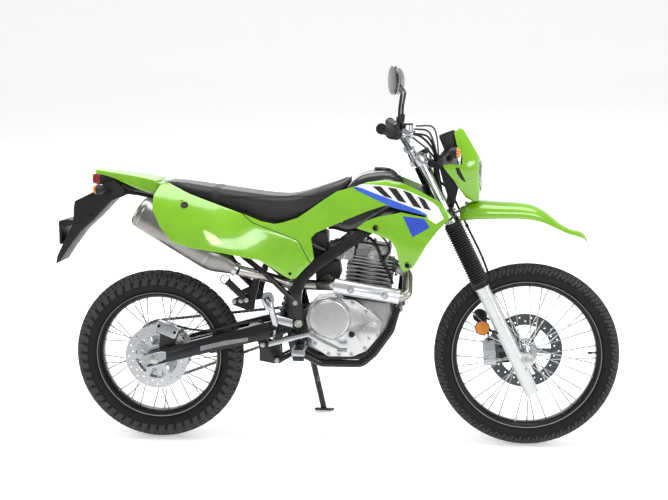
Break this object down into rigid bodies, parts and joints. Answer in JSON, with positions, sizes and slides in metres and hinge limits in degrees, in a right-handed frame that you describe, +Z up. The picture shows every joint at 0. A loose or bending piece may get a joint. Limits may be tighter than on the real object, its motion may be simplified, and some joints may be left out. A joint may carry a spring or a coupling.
{
  "type": "dual sport motorcycle",
  "caption": "Single-cylinder dual sport motorcycle with wire wheels, long fork with gaiters, lime green bodywork, high exhaust and road lamps, standing on its side stand",
  "frame": {"origin": "on the floor, below the centre of the whole machine's box", "axes": "+X forward, +Y to the rider's left, +Z up; the machine leans 10 degrees to +Y onto its side stand"},
  "size_m": [2.0994, 0.808, 1.4343],
  "materials": {
    "amber_lens": "clear amber",
    "black_frame": "semi-gloss black",
    "black_plastic": "textured black",
    "black_rim": "black anodised",
    "black_rubber": "matt",
    "bright_alloy": "satin cast",
    "cast_engine": "cast and blasted",
    "chain_steel": "oiled steel",
    "chrome_tube": "hard chrome",
    "clear_lens": "clear lens",
    "disc_steel": "ground steel",
    "fork_silver": "satin silver",
    "green_plastic": "gloss lime green",
    "muffler_steel": "brushed",
    "red_lens": "clear red",
    "seat_vinyl": "matt dark grey vinyl",
    "tank_paint": "dark grey",
    "tyre_rubber": "matt black rubber",
    "white_leg": "light silver paint"
  },
  "bodies": {
    "chassis": {"axles": "disc_steel", "chain": "chain_steel", "crankcase": "cast_engine", "cylinder": "cast_engine", "cylinder_head": "cast_engine", "engine_covers": "cast_engine", "exhaust_pipe": "muffler_steel", "foot_controls": "disc_steel", "frame": "black_frame", "front_panels": "green_plastic", "fuel_tank": "tank_paint", "heat_shield": "bright_alloy", "intake": "black_plastic", "muffler": "muffler_steel", "rear_caliper": "bright_alloy", "rear_fender": "green_plastic", "rear_flap": "black_plastic", "rear_indicators": "amber_lens", "seat": "seat_vinyl", "shock": "black_frame", "side_panels": "green_plastic", "subframe": "black_frame", "swingarm": "black_frame", "tail_lamp": "red_lens"},
    "steering": {"lower_clamp": "black_frame", "upper_clamp": "fork_silver", "stanchions": "chrome_tube", "fork_gaiters": "black_rubber", "fork_legs": "white_leg", "front_axle": "disc_steel", "handlebar": "fork_silver", "grips": "black_rubber", "hand_controls": "black_plastic", "mirrors": "black_plastic", "headlamp_mask": "green_plastic", "headlamp": "clear_lens", "headlamp_stay": "black_frame", "instrument": "black_plastic", "front_signals": "amber_lens", "front_fender": "green_plastic", "front_caliper": "bright_alloy", "front_hose": "black_rubber"},
    "front_wheel": {"front_tyre": "tyre_rubber", "front_rim": "black_rim", "front_hub": "bright_alloy", "front_disc": "disc_steel"},
    "rear_wheel": {"rear_tyre": "tyre_rubber", "rear_rim": "black_rim", "rear_hub": "bright_alloy", "rear_disc": "disc_steel", "rear_sprocket": "disc_steel"},
    "side_stand": {"side_stand": "black_frame"}
  },
  "joints": [
    {"name": "steering", "type": "hinge", "parent": "chassis", "child": "steering", "pos_m": [0.34992, -0.03791, 0.9485], "axis": [-0.4384, 0.1561, 0.8851], "range_deg": [-45, 45]},
    {"name": "front_wheel_spin", "type": "hinge", "parent": "steering", "child": "front_wheel", "pos_m": [0.7083, -0.1457, 0.33721], "axis": [0, 0.9848, -0.1736], "continuous": true},
    {"name": "rear_wheel_spin", "type": "hinge", "parent": "chassis", "child": "rear_wheel", "pos_m": [-0.6717, -0.14935, 0.31653], "axis": [0, 0.9848, -0.1736], "continuous": true},
    {"name": "side_stand_fold", "type": "hinge", "parent": "chassis", "child": "side_stand", "pos_m": [-0.1117, -0.02077, 0.29132], "axis": [0.1101, 0.9643, 0.2409], "range_deg": [0, 98]}
  ]
}
